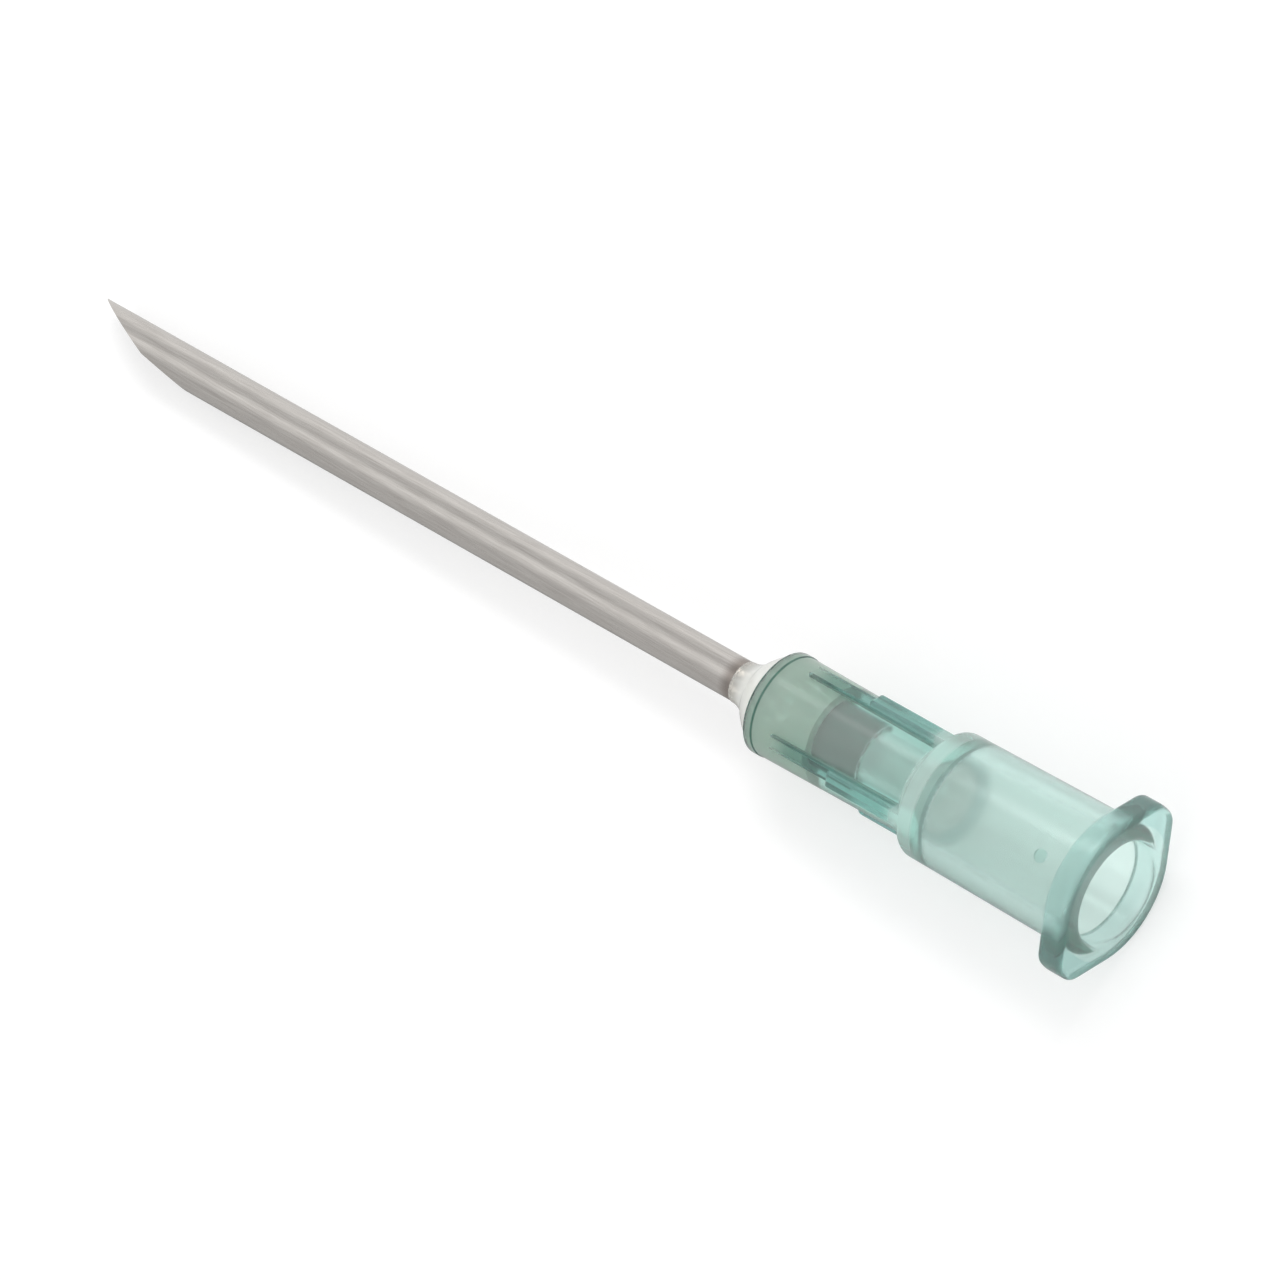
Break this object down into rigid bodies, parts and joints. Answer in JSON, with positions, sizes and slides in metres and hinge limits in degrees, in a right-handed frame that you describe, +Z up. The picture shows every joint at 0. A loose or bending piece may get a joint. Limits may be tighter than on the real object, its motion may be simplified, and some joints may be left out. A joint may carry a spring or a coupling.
{
  "type": "hypodermic needle",
  "caption": "Straight steel hypodermic needle with a lancet point, bonded into a translucent blue-grey plastic hub with fins, a lugged flange and a conical syringe socket.",
  "frame": {"origin": "middle of the part's box, on the table that the needle lies on", "axes": "+X along the needle, from the point to the hub's mouth, +Y along the flange's lugs, +Z up; the needle's own axis leans down to its point by 2.53 degrees"},
  "size_m": [0.0552, 0.0076, 0.0064],
  "materials": {
    "steel": "satin",
    "hub_plastic": "satin",
    "epoxy": "gloss"
  },
  "bodies": {
    "root": {"cannula": "steel", "hub": "hub_plastic", "adhesive": "epoxy"}
  },
  "joints": []
}
